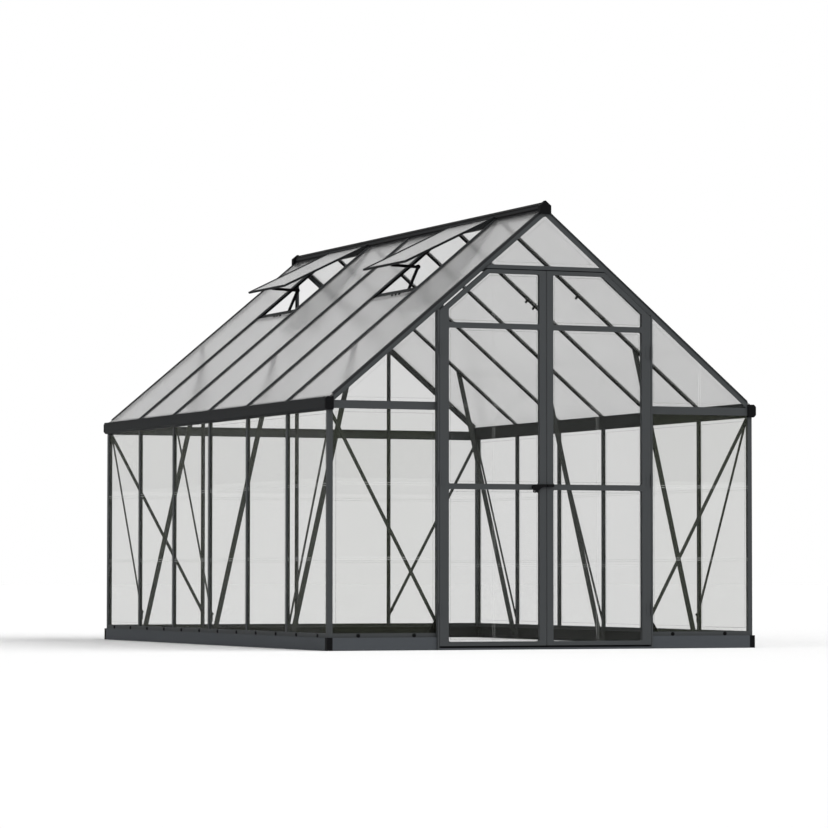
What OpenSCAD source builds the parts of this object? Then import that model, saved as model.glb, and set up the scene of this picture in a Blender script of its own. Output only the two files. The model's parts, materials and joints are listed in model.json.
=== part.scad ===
// Apex greenhouse: aluminium frame, clear wall sheets, opal roof panels,
// a pair of hinged front doors and two roof vents standing open.
// Front faces -Y, +X is to the right, Z is up from the ground. Millimetres.

/* [House] */
// Width over the base rails
base_w = 2440; // [2000:10:3200]
// Length over the base rails
base_l = 3660; // [2400:10:6200]
// Height of the roof plane at the ridge
ridge_z = 2308; // [2250:1:2700]
// Height of the underside of the gutters
eave_z = 1225; // [1100:1:1400]
// Height of the roof plane over the gutter floor, at the wall face
eave_rise = 72; // [50:1:80]
// Bays along each side wall
side_bays = 6; // [4:2:10]
// Bays across the rear wall
rear_bays = 4; // [2:2:6]

/* [Base] */
// Height of the base rails
base_h = 66; // [50:1:120]
// Sheet thickness of the base rails
base_t = 3; // [2:0.5:5]
// Width of the lower flange of the base rails
base_foot = 28; // [20:1:40]
// Width of the upper flange of the base rails
base_shelf = 24; // [16:1:26]
// How far the base stands outside the wall faces
base_ledge = 10; // [4:1:20]
// How far a base corner reaches past the rail flanges
corner_over = 2; // [1:1:30]
// Wall of a base corner
corner_t = 6; // [4:0.5:10]
// Height of the door threshold
threshold_h = 10; // [6:1:15]
// Height of the stop behind the leaves, over the threshold
stop_h = 22; // [14:1:24]

/* [Bars] */
// Face width of the glazing bars
bar_w = 24; // [18:1:40]
// Depth of the glazing bars
bar_d = 20; // [16:1:30]
// Thickness of the bar caps
cap_t = 4; // [3:0.5:5]
// Thickness of the bar webs
web_t = 6; // [4:0.5:8]
// Width of the corner posts on the side walls
post_w = 34; // [32:1:50]
// Wall of the hollow posts and rails
tube_t = 3; // [2:0.5:4]
// Height of the sill rails
sill_h = 22; // [16:1:40]
// Height of the tops of the eave rails over the gutter floor
rail_rise = 50; // [45:1:60]
// Height of the front eave rails
front_rail_h = 41; // [30:1:60]
// Height of the rear eave rails
rear_rail_h = 54; // [30:1:70]

/* [Roof] */
// Thickness of the roof bar caps
roof_cap_t = 7; // [5:0.5:9]
// Depth of the roof bars
roof_bar_d = 18; // [16:1:30]
// Depth of the gable rafters below the roof plane
rafter_h = 38; // [30:1:55]
// Depth of the rafter tops below the roof bar tops
rafter_drop = 4; // [2:0.5:6]
// Width of the gable rafters along the ridge
rafter_w = 24; // [22:1:40]
// Gap between the two rafters at the ridge mitre
mitre_gap = 1; // [0.5:0.5:2]
// Width of the ridge beam
ridge_w = 30; // [20:1:50]
// Depth of the ridge beam below the roof plane
ridge_d = 52; // [42:1:90]
// Height of the ridge crest above the roof bar planes
ridge_rise = 24; // [12:1:40]
// Width of the ridge end caps
ridge_cap_w = 64; // [40:1:90]
// Height of the end cap over the ridge crest
ridge_cap_up = 6; // [3:1:12]
// Depth of the end cap below the roof planes
ridge_cap_low = 40; // [30:1:50]
// Length of a ridge end cap along the ridge
ridge_cap_t = 10; // [6:1:16]
// Thickness of the roof panels
panel_t = 6; // [4:0.5:10]
// Width of the gutters over the outside
gutter_w = 46; // [40:1:70]
// Height of the outer gutter lip
lip_h = 66; // [50:1:70]
// Bevel along the lower outer edge of the gutters
gutter_bevel = 12; // [6:1:20]
// Wall of the gutters
gutter_t = 4; // [3:0.5:5]
// Height of the groove along the gutter lip, over the gutter floor
groove_z = 48; // [40:1:56]
// Width of the groove along the gutter lip
groove_w = 4; // [2:0.5:6]
// Depth of the groove along the gutter lip
groove_d = 1.5; // [0.5:0.5:2]
// Height of a gutter end cap
gutter_cap_h = 68; // [70:1:90]
// Length of a gutter end cap along the gutter
gutter_cap_t = 14; // [10:1:20]

/* [Sheets] */
// Thickness of the wall sheets
sheet_t = 4; // [3:0.5:6]
// How far a gable sheet reaches behind the rafters
sheet_lap = 10; // [6:1:16]
// Width of the stiffening ribs in the wall sheets
rib_w = 11; // [8:1:20]
// Height of the stiffening ribs
rib_t = 1; // [0.5:0.5:2]
// Gap between a roof panel and the gutter wall under it
seat_gap = 0.3; // [0.2:0.1:0.6]
// Gap between a sheet edge and a web
edge_gap = 1; // [0.5:0.5:2]

/* [Braces] */
// Width of the flat wall braces
brace_w = 18; // [12:1:25]
// Thickness of the flat wall braces
brace_t = 4; // [3:0.5:6]
// Height of the lower end of the wall braces
brace_low = 150; // [130:5:300]
// Distance of the upper brace ends below the gutters
brace_drop = 15; // [8:1:80]
// Width of the knee struts
strut_w = 28; // [20:1:36]
// Thickness of the knee struts
strut_t = 5; // [3:0.5:8]
// Height of the feet of the knee struts
strut_low = 20; // [8:1:60]
// Distance of the strut heads from the middle of the house
strut_head = 812; // [700:2:900]
// Leg of the gussets at the feet of the jambs
gusset_w = 46; // [30:1:60]
// Height of the gussets at the feet of the jambs
gusset_h = 72; // [40:1:80]
// Thickness of the gussets
gusset_t = 8; // [5:1:11]

/* [Doors] */
// Width of the doorway between the jambs
door_w = 1210; // [1000:10:1240]
// Face width of the jambs
jamb_w = 9; // [8:1:20]
// Width of the stops of the jambs behind the leaves
jamb_stop = 36; // [24:1:44]
// How far the jambs and leaves stand in front of the wall face
door_proud = 18; // [12:1:30]
// Thickness of the door leaves
leaf_d = 25; // [18:1:30]
// Width of the outer leaf stiles
stile_w = 51; // [30:1:60]
// Width of the meeting leaf stiles
meeting_w = 36; // [28:1:45]
// Gap between a leaf and what surrounds it
leaf_gap = 5; // [5:0.5:8]
// Gap between a leaf and its jamb at the hinge line
hinge_gap = 2; // [2:0.5:5]
// Gap between the two leaves
meeting_gap = 6; // [6:0.5:10]
// Height of the leaf bottom rails
bottom_rail_h = 22; // [15:1:60]
// Height of the lower edge of the lock rails
lock_rail_z = 827; // [750:1:950]
// Height of the lock rails
lock_rail_h = 29; // [24:1:50]
// Distance of the upper rails below the top of the leaves
upper_drop = 308; // [260:1:400]
// Height of the upper rails
upper_rail_h = 28; // [20:1:40]
// Distance of the top of the door head below the ridge
head_drop = 315; // [300:1:420]
// Height of the leaf top rails
top_rail_h = 20; // [16:1:30]
// Height of the door head rail
head_rail_h = 20; // [16:1:30]
// Depth of the stop behind the leaf tops
head_stop_h = 16; // [12:1:30]
// Width of the sloping top rails of the leaves
slope_rail_w = 24; // [18:1:34]
// Gap between the rafters and the sloping top rails
slope_gap = 8; // [6:1:14]
// Radius of the inner corners of the leaf frames
field_r = 9; // [4:1:16]
// Gap between the hinge knuckles and the door faces
knuckle_gap = 0.5; // [0.3:0.1:1]
// Radius of the hinge knuckles
knuckle_r = 4; // [3:0.5:6]
// Radius of the hinge pins
pin_r = 1.6; // [1:0.1:2]
// Gap around the hinge pins
pin_gap = 0.3; // [0.2:0.1:0.5]
// Length of one hinge knuckle
knuckle_l = 22; // [16:1:40]
// Width of a hinge plate on a leaf
plate_w = 24; // [12:1:30]
// Thickness of a hinge plate
plate_t = 1.5; // [1:0.5:2]
// Gap between a hinge plate and the knuckle line
plate_gap = 5.5; // [5:0.5:8]
// Distance of the end hinges from the ends of the outer stiles
hinge_inset = 190; // [120:5:300]

/* [Latch] */
// Height of the latch case on the left leaf
latch_h = 29; // [24:1:40]
// Height of the latch bar where it crosses to the right leaf
latch_bar_h = 14; // [10:1:18]
// How far the latch stands in front of the leaves
latch_t = 12; // [8:1:18]
// Distance of the latch head from the edge of the left leaf
hasp_l = 67; // [55:1:90]
// Length of the latch bar on the left leaf
latch_bar_l = 10; // [4:1:20]
// Radius of the curve under the latch case
latch_curve_r = 41; // [30:1:50]
// Length of the latch part on the right leaf
keeper_l = 35; // [20:1:60]
// Outer radius of the padlock rings
ring_r = 8.5; // [7:0.5:8.5]
// Inner radius of the padlock rings
ring_hole_r = 4; // [3:0.5:6]
// Distance between the padlock rings
ring_pitch = 18.5; // [18:0.5:26]
// How far the padlock rings reach into the latch case
ring_lap = 1.5; // [1:0.5:3]

/* [Vents] */
// Length of a vent flap down the slope
vent_l = 574; // [420:2:620]
// Gap between the vent hinge beads and the ridge wings
flap_seat = 0.5; // [0.3:0.1:0.8]
// Opening angle of the vents
vent_angle = 14; // [0:1:40]
// Width of the vent frame bars
vent_bar_w = 10; // [8:1:24]
// Thickness of the vent frames
vent_t = 12; // [8:1:18]
// Thickness of the vent panes
vent_pane_t = 5; // [4:0.5:8]
// Distance of the vent sills from the ridge, down the slope
vent_sill = 590; // [560:1:680]
// Width of a vent sill
vent_sill_w = 60; // [60:1:110]
// Depth of the vent sill
vent_sill_d = 12; // [8:1:20]
// How far the roof panel below a vent reaches over its sill
panel_lap = 14; // [10:1:30]
// Width of the links of the vent stays
stay_w = 16; // [8:1:22]
// Thickness of the links of the vent stays
stay_t = 6; // [4:0.5:10]
// Radius of the elbow knuckle of a stay
elbow_r = 13; // [10:0.5:16]
// Place of the elbow up the slope from the vent sill
elbow_up = 122; // [90:1:160]
// Height of the elbow over the roof plane
elbow_n = 40; // [20:1:60]
// Distance of the stays from the bay middle toward the front
stay_off = 110; // [0:5:200]

/* [Hidden] */
$fn = 48;
over = 400;
corner_leg = base_foot + corner_over;
wall_x = base_w/2 - base_ledge;
wall_y = base_l/2 - base_ledge;
pitch = atan2(ridge_z - eave_z - eave_rise, wall_x);
bay_l = 2*wall_y/side_bays;
rear_bay = 2*wall_x/rear_bays;
tube_w = bar_d + brace_t;
sill_z = base_h + sill_h;
in_x = wall_x - bar_d;
in_y = wall_y - bar_d;
tube_x = wall_x - tube_w;
tube_y = wall_y - tube_w;
gutter_x = tube_x - edge_gap;
gutter_out = gutter_x + gutter_w;
rail_top = eave_z + rail_rise;
front_rail_z = rail_top - front_rail_h;
rear_rail_z = rail_top - rear_rail_h;
jamb_in = door_w/2;
jamb_out = jamb_in + jamb_w;
door_face = -wall_y - door_proud;
stop_y = door_face + leaf_d + leaf_gap;
leaf_out = jamb_in - hinge_gap;
leaf_in = meeting_gap/2;
leaf_low = threshold_h + 2*leaf_gap;
head_z = ridge_z - head_drop - head_rail_h;
leaf_top_z = head_z - leaf_gap;
upper_rail_z = leaf_top_z - upper_drop;
slope_n = -rafter_h - slope_gap;
crest_z = ridge_z + ridge_rise;
stile_top = ridge_z + slope_n/cos(pitch) - leaf_out*tan(pitch);
hinge_low = leaf_low + hinge_inset;
hinge_high = stile_top - hinge_inset;
hinge_z = [hinge_low, (hinge_low + hinge_high)/2, hinge_high];
hinge_x = jamb_in - hinge_gap/2;
hinge_y = door_face - knuckle_r - knuckle_gap;
vent_bays = [1, side_bays - 2];
sheet_y = wall_y - cap_t;
panel_n = -roof_cap_t - panel_t;
flap_grip = vent_l - vent_bar_w/2;
sill_pin = [vent_sill, panel_n - tube_t - stay_w/4];
bead_n = flap_seat + vent_t/2*cos(vent_angle);
bead_x = ridge_w/2 + seat_gap + vent_t/2;
vent_top = (bead_x - bead_n*sin(pitch))/cos(pitch) + vent_t/2*sin(vent_angle);
flap_pin = [vent_top + flap_grip*cos(vent_angle), flap_seat + flap_grip*sin(vent_angle)];
elbow = [vent_sill - elbow_up, elbow_n];

function roof_z(x, n = 0) = ridge_z + n/cos(pitch) - abs(x)*tan(pitch);
function roof_x(z, n = 0) = (ridge_z + n/cos(pitch) - z)/tan(pitch);
function stud_y(i) = -wall_y + i*bay_l;
function post_x(i) = -wall_x + i*rear_bay;
function side_low(i) = i == 0 ? -tube_y : stud_y(i) + web_t/2 + edge_gap;
function side_high(i) = i == side_bays - 1 ? tube_y : stud_y(i + 1) - web_t/2 - edge_gap;
function roof_low(i) = i == 0 ? -sheet_y : stud_y(i) + web_t/2 + edge_gap;
function roof_high(i) = i == side_bays - 1 ? sheet_y : stud_y(i + 1) - web_t/2 - edge_gap;
function rear_low(i) = i == 0 ? -tube_x : post_x(i) + web_t/2 + edge_gap;
function rear_high(i) = i == rear_bays - 1 ? tube_x : post_x(i + 1) - web_t/2 - edge_gap;

module both_sides() {
  children();
  mirror([1, 0, 0]) children();
}

module both_ends() {
  children();
  mirror([0, 1, 0]) children();
}

module on_slope() {
  translate([0, 0, ridge_z]) rotate([0, pitch, 0]) children();
}

// Extrudes a profile drawn in X and Z along Y, from y0 to y1.
module along_y(y0, y1) {
  translate([0, y1, 0]) rotate([90, 0, 0]) linear_extrude(y1 - y0) children();
}

// Extrudes a profile drawn in Y and Z along X, from x0 to x1.
module along_x(x0, x1) {
  translate([x0, 0, 0]) rotate([90, 0, 90]) linear_extrude(x1 - x0) children();
}

// Glazing bar: a flat cap outside and a web inside, outer face on the X axis.
module bar_profile() {
  polygon([
    [-bar_w/2, 0], [-bar_w/2, -cap_t], [-web_t/2, -cap_t], [-web_t/2, -bar_d],
    [web_t/2, -bar_d], [web_t/2, -cap_t], [bar_w/2, -cap_t], [bar_w/2, 0]
  ]);
}

// Roof bar: as a glazing bar, with a higher cap.
module roof_bar_profile() {
  polygon([
    [-bar_w/2, 0], [-bar_w/2, -roof_cap_t], [-web_t/2, -roof_cap_t], [-web_t/2, -roof_bar_d],
    [web_t/2, -roof_bar_d], [web_t/2, -roof_cap_t], [bar_w/2, -roof_cap_t], [bar_w/2, 0]
  ]);
}

// Corner post seen from above, for the corner at +X and +Y: a tube with a flange on the side wall.
module post_profile() {
  difference() {
    union() {
      translate([tube_x, tube_y]) square(tube_w);
      translate([wall_x - cap_t, wall_y - post_w]) square([cap_t, post_w]);
    }
    translate([tube_x + tube_t, tube_y + tube_t]) square(tube_w - 2*tube_t);
  }
}

// Open channel, outer face on the X axis, standing up along Y from zero.
module channel_profile(d, h, t) {
  difference() {
    translate([-d, 0]) square([d, h]);
    translate([-d - t, t]) square([d, h - 2*t]);
  }
}

module base_profile() {
  polygon([
    [0, 0], [0, base_h], [-base_shelf, base_h], [-base_shelf, base_h - base_t],
    [-base_t, base_h - base_t], [-base_t, base_t], [-base_foot, base_t], [-base_foot, 0]
  ]);
}

// Trough with a bevelled lower edge; its back wall carries the roof panels.
module gutter_profile() {
  turn = gutter_t*tan(22.5);
  polygon([
    [gutter_x, eave_z], [gutter_out - gutter_bevel, eave_z],
    [gutter_out, eave_z + gutter_bevel], [gutter_out, eave_z + groove_z],
    [gutter_out - groove_d, eave_z + groove_z], [gutter_out - groove_d, eave_z + groove_z + groove_w],
    [gutter_out, eave_z + groove_z + groove_w], [gutter_out, eave_z + lip_h],
    [gutter_out - 2*gutter_t, eave_z + lip_h], [gutter_out - 2*gutter_t, eave_z + lip_h - gutter_t],
    [gutter_out - gutter_t, eave_z + lip_h - gutter_t],
    [gutter_out - gutter_t, eave_z + gutter_bevel + turn],
    [gutter_out - gutter_bevel - turn, eave_z + gutter_t], [gutter_x + gutter_t, eave_z + gutter_t],
    [gutter_x + gutter_t, roof_z(gutter_x + gutter_t, panel_n - seat_gap)],
    [gutter_x, roof_z(gutter_x, panel_n - seat_gap)]
  ]);
}

// Everything lower than the given distance from the roof plane, in X and Z.
module under_roof(n) {
  polygon([
    [-base_w, 0], [base_w, 0], [base_w, roof_z(base_w, n)],
    [0, roof_z(0, n)], [-base_w, roof_z(base_w, n)]
  ]);
}

// A straight flat strip between two points of a plane.
module strip(a, b, w) {
  d = b - a;
  translate(a) rotate(atan2(d[1], d[0])) translate([0, -w/2]) square([norm(d), w]);
}

module base_rails() {
  color("#484e53") {
    both_sides() translate([base_w/2, 0, 0])
      along_y(-base_l/2 + corner_leg, base_l/2 - corner_leg) base_profile();
    along_x(-base_w/2 + corner_leg, base_w/2 - corner_leg)
      translate([base_l/2, 0]) base_profile();
    both_sides() mirror([0, 1, 0])
      along_x(jamb_out, base_w/2 - corner_leg) translate([base_l/2, 0]) base_profile();
  }
}

module base_corners() {
  color("#1b1c1d") both_sides() both_ends()
    linear_extrude(base_h)
      difference() {
        translate([base_w/2 - corner_leg, base_l/2 - corner_leg]) square(corner_leg);
        translate([base_w/2 - corner_leg - corner_t, base_l/2 - corner_leg - corner_t])
          square(corner_leg);
      }
}

// Threshold with an upstand behind the leaves.
module threshold() {
  color("#484e53") along_x(-jamb_in, jamb_in)
    polygon([
      [door_face, 0], [door_face, threshold_h], [stop_y, threshold_h],
      [stop_y, threshold_h + stop_h], [-in_y, threshold_h + stop_h], [-in_y, 0]
    ]);
}

module sill_rails() {
  color("#4a4c4e") translate([0, 0, base_h]) {
    both_sides()
      along_y(-wall_y + post_w, wall_y - post_w)
        translate([wall_x, 0]) channel_profile(bar_d, sill_h, tube_t);
    along_x(-tube_x, tube_x) translate([wall_y, 0]) channel_profile(bar_d, sill_h, tube_t);
    both_sides() mirror([0, 1, 0])
      along_x(jamb_out, tube_x) translate([wall_y, 0]) channel_profile(bar_d, sill_h, tube_t);
  }
}

module corner_posts() {
  color("#4a4c4e") both_sides() both_ends()
    translate([0, 0, base_h]) linear_extrude(eave_z - base_h) post_profile();
}

module right_wall_bars() {
  color("#46484b") for (i = [1 : side_bays - 1])
    translate([wall_x, stud_y(i), sill_z])
      rotate([0, 0, -90]) linear_extrude(eave_z - sill_z) bar_profile();
}

module left_wall_bars() {
  mirror([1, 0, 0]) right_wall_bars();
}

module rear_wall_bars() {
  color("#46484b") intersection() {
    for (i = [1 : rear_bays - 1])
      translate([post_x(i), wall_y, sill_z])
        linear_extrude(ridge_z - sill_z) bar_profile();
    along_y(0, base_l) under_roof(-rafter_h);
  }
}

// Each jamb is an angle: a slim leg beside the leaf and a stop behind it.
module door_jambs() {
  color("#4a4c4e") both_sides() intersection() {
    union() {
      translate([jamb_in, door_face, 0]) cube([jamb_w, door_proud + bar_d, ridge_z]);
      translate([jamb_in - jamb_stop, stop_y, threshold_h + stop_h])
        cube([jamb_stop, -in_y - stop_y, ridge_z]);
    }
    along_y(-base_l, 0) under_roof(-rafter_h);
  }
}

module door_head() {
  color("#4a4c4e") intersection() {
    translate([-wall_x, 0, head_z]) {
      translate([0, door_face, 0]) cube([2*wall_x, door_proud + bar_d, head_rail_h]);
      translate([0, stop_y, -head_stop_h]) cube([2*wall_x, -in_y - stop_y, head_rail_h]);
    }
    along_y(-base_l, 0) under_roof(-rafter_h);
  }
}

module eave_rails() {
  color("#46484b") {
    both_sides() mirror([0, 1, 0])
      along_x(jamb_out, gutter_x)
        translate([wall_y, front_rail_z]) channel_profile(bar_d, front_rail_h, tube_t);
    difference() {
      for (i = [0 : rear_bays - 1])
        along_x(
          i == 0 ? -gutter_x : post_x(i) + bar_w/2,
          i == rear_bays - 1 ? gutter_x : post_x(i + 1) - bar_w/2
        ) translate([wall_y, rear_rail_z]) channel_profile(bar_d, rear_rail_h, tube_t);
      both_sides() translate([tube_x, in_y - bar_d, 0]) cube([tube_w, 2*bar_d, eave_z]);
    }
  }
}

module gutters() {
  color("#222426") both_sides()
    along_y(-sheet_y, sheet_y) gutter_profile();
}

module gutter_end_caps() {
  color("#1b1c1d") both_sides() both_ends()
    along_y(sheet_y, sheet_y + gutter_cap_t)
      polygon([
        [gutter_x, eave_z], [gutter_out - gutter_bevel, eave_z],
        [gutter_out, eave_z + gutter_bevel], [gutter_out, eave_z + gutter_cap_h - gutter_bevel],
        [gutter_out - gutter_bevel, eave_z + gutter_cap_h], [gutter_x, eave_z + gutter_cap_h]
      ]);
}

// At each end a pair of angles, mitred at the ridge; over the door leaves they are boxed out.
module gable_rafters() {
  slope_in = roof_x(head_z + head_rail_h, cap_t - rafter_h);
  color("#454545") both_sides() {
    both_ends() difference() {
      intersection() {
        on_slope() along_x(-over, base_w)
          polygon([
            [wall_y, -rafter_drop], [wall_y, -rafter_h], [wall_y - cap_t, -rafter_h],
            [wall_y - cap_t, -roof_cap_t], [wall_y - rafter_w, -roof_cap_t],
            [wall_y - rafter_w, -rafter_drop]
          ]);
        translate([mitre_gap/2, 0, rail_top])
          cube([gutter_x - mitre_gap/2, base_l, ridge_z]);
      }
      translate([0, 0, ridge_z - ridge_d]) cube([ridge_w/2, in_y, 2*ridge_d]);
    }
    mirror([0, 1, 0]) intersection() {
      on_slope() along_x(0, base_w) translate([in_y, -rafter_h]) square([bar_d, cap_t]);
      translate([slope_in, 0, 0]) cube([jamb_out - slope_in, base_l, ridge_z]);
    }
  }
}

// Box along the ridge with a pointed top that stands over the roof planes.
module ridge_beam() {
  shoulder = crest_z - ridge_w/2*tan(pitch);
  color("#3c3e40") along_y(-in_y, in_y)
    polygon([
      [0, crest_z], [ridge_w/2, shoulder], [ridge_w/2, ridge_z - ridge_d],
      [-ridge_w/2, ridge_z - ridge_d], [-ridge_w/2, shoulder]
    ]);
}

// Cap over the ridge end and the mitred rafters, closed in front.
module ridge_end_caps() {
  color("#1b1c1d") both_ends() {
    along_y(wall_y, wall_y + ridge_cap_t) ridge_cap_outline();
    along_y(in_y, wall_y) difference() {
      ridge_cap_outline();
      under_roof(-rafter_drop);
    }
  }
}

module ridge_cap_outline() {
  intersection() {
    under_roof((ridge_rise + ridge_cap_up)*cos(pitch));
    translate([-ridge_cap_w/2, ridge_z - ridge_cap_low]) square([ridge_cap_w, base_w]);
  }
}

module right_roof_bars() {
  color("#46484b") intersection() {
    for (i = [1 : side_bays - 1])
      translate([0, stud_y(i), 0]) on_slope() along_x(-over, base_w) roof_bar_profile();
    translate([ridge_w/2, -base_l/2, 0]) cube([gutter_x - ridge_w/2, base_l, ridge_z]);
  }
}

module left_roof_bars() {
  mirror([1, 0, 0]) right_roof_bars();
}

module knee_struts() {
  foot = [in_x - strut_w/4, strut_low];
  head = [strut_head, roof_z(strut_head)];
  color("#3e4042") both_sides() for (i = [1 : 2 : side_bays - 1])
    along_y(stud_y(i) + web_t/2, stud_y(i) + web_t/2 + strut_t)
      intersection() {
        strip(foot - (head - foot)/10, head, strut_w);
        translate([0, strut_low]) square([in_x, ridge_z]);
        under_roof(panel_n);
      }
}

// A flat brace from a bar foot up to the next upright, cut off at both uprights.
module brace_up(low, high) {
  intersection() {
    strip(
      [low, brace_low] - [high - low, eave_z - brace_drop - brace_low]/10,
      [high, eave_z - brace_drop] + [high - low, eave_z - brace_drop - brace_low]/10,
      brace_w
    );
    translate([low - web_t/2, sill_z]) square([high - low + web_t/2, rear_rail_z - sill_z]);
  }
}

module wall_braces() {
  color("#3e4042") both_sides() {
    along_x(in_x - brace_t, in_x) {
      brace_up(stud_y(side_bays - 1), tube_y);
      mirror([1, 0]) brace_up(stud_y(side_bays - 1), tube_y);
      brace_up(stud_y(side_bays/2), stud_y(side_bays/2 + 1));
    }
    along_y(in_y - brace_t, in_y) brace_up(post_x(rear_bays - 1), tube_x);
    along_y(-in_y, -in_y + brace_t) brace_up(jamb_in + web_t, tube_x);
  }
}

module jamb_gussets() {
  color("#1b1c1d") both_sides()
    along_y(-sheet_y + sheet_t, -sheet_y + sheet_t + gusset_t)
      polygon([
        [jamb_out, sill_z], [jamb_out + gusset_w, sill_z], [jamb_out, sill_z + gusset_h]
      ]);
}

module in_vent_bays() {
  for (i = vent_bays) translate([0, stud_y(i) + bay_l/2, 0]) mirror([1, 0, 0]) on_slope() children();
}

// Places what is drawn on the flap, with its hinge line at zero.
module on_flap() {
  in_vent_bays() translate([vent_top, 0, flap_seat]) rotate([0, -vent_angle, 0]) children();
}

module vent_sills() {
  w = bay_l - web_t - 2*edge_gap;
  color("#46484b") in_vent_bays() along_y(-w/2, w/2)
    translate([vent_sill, panel_n]) mirror([0, 1])
      difference() {
        square([vent_sill_w, vent_sill_d]);
        translate([tube_t, tube_t]) square([vent_sill_w - 2*tube_t, vent_sill_d]);
      }
}

// Flap frame with a round hinge bead along its upper edge.
module vent_frames() {
  w = bay_l - web_t;
  color("#46484b") on_flap() translate([0, -w/2, 0]) {
    difference() {
      cube([vent_l, w, vent_t]);
      translate([vent_bar_w, vent_bar_w, -vent_t])
        cube([vent_l - 2*vent_bar_w, w - 2*vent_bar_w, 3*vent_t]);
    }
    translate([0, 0, vent_t/2]) rotate([-90, 0, 0]) cylinder(h = w, r = vent_t/2);
  }
}

module vent_panes() {
  w = bay_l - web_t - 2*vent_bar_w;
  color("#c0c0c0", 0.7) on_flap()
    translate([vent_bar_w, -w/2, (vent_t - vent_pane_t)/2])
      cube([vent_l - 2*vent_bar_w, w, vent_pane_t]);
}

// The two links of a stay lie side by side on the elbow pin, one on each side of its middle plane.
module stay_place() {
  in_vent_bays() translate([0, -stay_off, 0]) children();
}

module vent_stay_arms() {
  color("#1b1c1d") stay_place()
    along_y(-stay_t, 0)
      difference() {
        union() {
          strip(elbow, sill_pin + (sill_pin - elbow)/4, stay_w);
          translate(elbow) circle(elbow_r);
        }
        translate([vent_sill, -base_w/2]) square(base_w/2);
      }
}

module vent_stay_links() {
  color("#1b1c1d") stay_place()
    along_y(0, stay_t)
      difference() {
        union() {
          strip(elbow, flap_pin + (flap_pin - elbow)/4, stay_w);
          translate(elbow) circle(elbow_r);
        }
        translate([vent_top, flap_seat]) rotate(vent_angle) square(base_w);
      }
}

// Upright sheet in X and Z with level ribs on its inner face, which looks along -Y.
module ribbed_sheet(w, h, ribs) {
  cube([w, sheet_t, h]);
  for (k = [1 : ribs])
    translate([0, -rib_t, k*h/(ribs + 1) - rib_w/2]) cube([w, sheet_t, rib_w]);
}

module right_wall_sheets() {
  color("#d4d5d0", 0.35) for (i = [0 : side_bays - 1])
    translate([wall_x - cap_t, side_high(i), sill_z]) rotate([0, 0, -90])
      translate([0, -sheet_t, 0]) ribbed_sheet(side_high(i) - side_low(i), eave_z - sill_z, 2);
}

module left_wall_sheets() {
  mirror([1, 0, 0]) right_wall_sheets();
}

module front_wall_sheets() {
  color("#d4d5d0", 0.35) both_sides() mirror([0, 1, 0])
    translate([jamb_out, sheet_y - sheet_t, sill_z])
      ribbed_sheet(gutter_x - jamb_out, front_rail_z - sill_z, 2);
}

module rear_wall_sheets() {
  color("#d4d5d0", 0.35) for (i = [0 : rear_bays - 1])
    translate([rear_low(i), sheet_y - sheet_t, sill_z])
      ribbed_sheet(rear_high(i) - rear_low(i), rear_rail_z - sill_z, 2);
}

// Gable sheets seen from the front: two beside the doors and one over the door head.
module front_gable_outline() {
  intersection() {
    under_roof(-rafter_h + sheet_lap);
    union() {
      both_sides() translate([jamb_out, rail_top]) square([gutter_x - jamb_out, ridge_z]);
      translate([-wall_x, head_z + head_rail_h]) square([2*wall_x, ridge_z]);
    }
  }
}

module front_gable_sheets() {
  color("#d4d5d0", 0.35) {
    along_y(-sheet_y, -sheet_y + sheet_t) front_gable_outline();
    along_y(-sheet_y + sheet_t, -sheet_y + sheet_t + rib_t)
      intersection() {
        front_gable_outline();
        both_sides() translate([(jamb_out + tube_x)/2 - rib_w/2, 0]) square([rib_w, head_z]);
      }
  }
}

module rear_gable_sheets() {
  color("#d4d5d0", 0.35) along_y(sheet_y - sheet_t, sheet_y)
    intersection() {
      under_roof(-rafter_h + sheet_lap);
      translate([-gutter_x, rail_top]) square([2*gutter_x, ridge_z]);
      for (i = [0 : rear_bays - 1])
        translate([rear_low(i), 0]) square([rear_high(i) - rear_low(i), 2*ridge_z]);
    }
}

// Roof panels of one slope; the listed bays start below their vent sills.
module roof_panels(short_bays) {
  color("#b0b0b0", 0.75) intersection() {
    for (i = [0 : side_bays - 1]) {
      start = len(search(i, short_bays)) > 0 ? vent_sill + vent_sill_w - panel_lap : -over;
      on_slope() translate([start, roof_low(i), panel_n])
        cube([base_w, roof_high(i) - roof_low(i), panel_t]);
    }
    translate([ridge_w/2, -base_l/2, 0]) cube([wall_x - ridge_w/2, base_l, ridge_z]);
  }
}

module right_roof_panels() {
  roof_panels([]);
}

module left_roof_panels() {
  mirror([1, 0, 0]) roof_panels(vent_bays);
}

// Knuckle at a hinge, with its height counted from the hinge middle.
module knuckle(z0, z1) {
  translate([hinge_x, hinge_y, z0]) cylinder(h = z1 - z0, r = knuckle_r);
}

module jamb_hinges() {
  color("#2c2d2e") both_sides() for (z = hinge_z) translate([0, 0, z]) {
    for (s = [-1, 1]) {
      low = s > 0 ? knuckle_l/2 : -3*knuckle_l/2;
      knuckle(low, low + knuckle_l);
      translate([hinge_x, door_face - plate_t, low])
        cube([jamb_out - hinge_x, plate_t, knuckle_l]);
    }
    translate([hinge_x + plate_gap, door_face - plate_t, -3*knuckle_l/2])
      cube([jamb_out - hinge_x - plate_gap, plate_t, 3*knuckle_l]);
    translate([hinge_x, hinge_y, -knuckle_l]) cylinder(h = 2*knuckle_l, r = pin_r);
  }
}

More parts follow.
